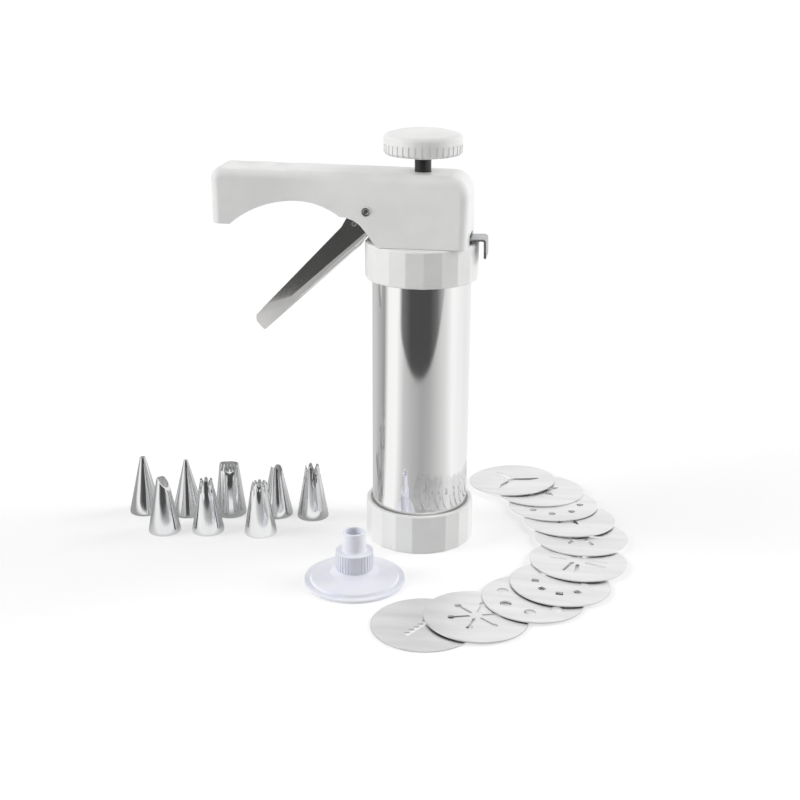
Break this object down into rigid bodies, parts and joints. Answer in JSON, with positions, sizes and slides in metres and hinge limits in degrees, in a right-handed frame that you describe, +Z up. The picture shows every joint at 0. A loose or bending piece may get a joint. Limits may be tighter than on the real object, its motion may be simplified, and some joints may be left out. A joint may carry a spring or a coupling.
{
  "type": "churro press",
  "caption": "Hand press for churros: polished steel tube between faceted white screw rings, white pistol-grip head with squeeze lever, knobbed plunger rod, loose nozzles, adaptor and discs.",
  "frame": {"origin": "centre of the outlet at the bottom ring's underside, on the tube's axis, in the plane that everything stands on", "axes": "+Z up along the tube and the rod, +X from the grip towards the release tab, +Y towards the back as the press is seen with its grip on the left"},
  "size_m": [0.2748, 0.2243, 0.2148],
  "materials": {
    "polished_steel": "polished",
    "nozzle_steel": "polished",
    "disc_steel": "satin",
    "plain_steel": "satin",
    "black_rod": "gloss",
    "white_plastic": "semi-gloss",
    "inner_plastic": "satin",
    "seal_rubber": "matt",
    "clear_plastic": "translucent gloss"
  },
  "bodies": {
    "frame": {"barrel_tube": "polished_steel", "head_housing": "white_plastic", "guide_plate": "inner_plastic", "guide_plate_screws": "plain_steel", "spring_seat": "plain_steel", "pivot_pin": "polished_steel", "drive_spring": "plain_steel", "lock_spring": "plain_steel", "nozzle_adaptor": "clear_plastic", "nozzle_round": "nozzle_steel", "nozzle_round_fine": "nozzle_steel", "nozzle_star_closed": "nozzle_steel", "nozzle_star_fine": "nozzle_steel", "nozzle_star_open": "nozzle_steel", "nozzle_petal": "nozzle_steel", "nozzle_leaf": "nozzle_steel", "nozzle_basket": "nozzle_steel", "disc_ribbon": "disc_steel", "disc_asterisk": "disc_steel", "disc_ovals": "disc_steel", "disc_squares": "disc_steel", "disc_comb": "disc_steel", "disc_flower": "disc_steel", "disc_star": "disc_steel", "disc_dots": "disc_steel", "disc_leaves": "disc_steel", "disc_propeller": "disc_steel"},
    "bottom_ring": {"bottom_ring": "white_plastic"},
    "top_ring": {"top_ring": "white_plastic"},
    "trigger": {"trigger_lever": "polished_steel", "lever_stop_pin": "polished_steel"},
    "drive": {"drive_plate": "plain_steel"},
    "lock": {"lock_plate": "plain_steel"},
    "piston": {"piston": "inner_plastic", "piston_seal": "seal_rubber"},
    "rod": {"piston_rod": "black_rod", "knob": "white_plastic", "piston_washer": "plain_steel", "piston_nut": "plain_steel"}
  },
  "joints": [
    {"name": "bottom_ring_turn", "type": "hinge", "parent": "frame", "child": "bottom_ring", "pos_m": [0, 0, 0.012], "axis": [0, 0, 1], "continuous": true},
    {"name": "top_ring_turn", "type": "hinge", "parent": "frame", "child": "top_ring", "pos_m": [0, 0, 0.15], "axis": [0, 0, 1], "continuous": true},
    {"name": "trigger_squeeze", "type": "hinge", "parent": "frame", "child": "trigger", "pos_m": [-0.0253, 0, 0.1769], "axis": [0, 1, 0], "range_deg": [0, 36], "stiffness_Nm_per_rad": 0.3, "springref_deg": -20.05},
    {"name": "drive_plate_slide", "type": "slide", "parent": "frame", "child": "drive", "axis": [0, 0, -1], "range_m": [0, 0.0112], "deforming": ["drive_spring"]},
    {"name": "lock_release", "type": "hinge", "parent": "frame", "child": "lock", "pos_m": [-0.015, 0, 0.16045], "axis": [0, 1, 0], "range_deg": [0, 1.4], "stiffness_Nm_per_rad": 0.5, "springref_deg": -5.73, "deforming": ["lock_spring"]},
    {"name": "plunger_slide", "type": "slide", "parent": "frame", "child": "piston", "axis": [0, 0, 1], "range_m": [-0.006, 0.128]},
    {"name": "rod_turn", "type": "hinge", "parent": "piston", "child": "rod", "pos_m": [0, 0, 0.015], "axis": [0, 0, 1], "continuous": true}
  ],
  "couplings": [
    {"joint": "drive_plate_slide", "follows": "trigger_squeeze", "m_per_rad": 0.0176}
  ]
}
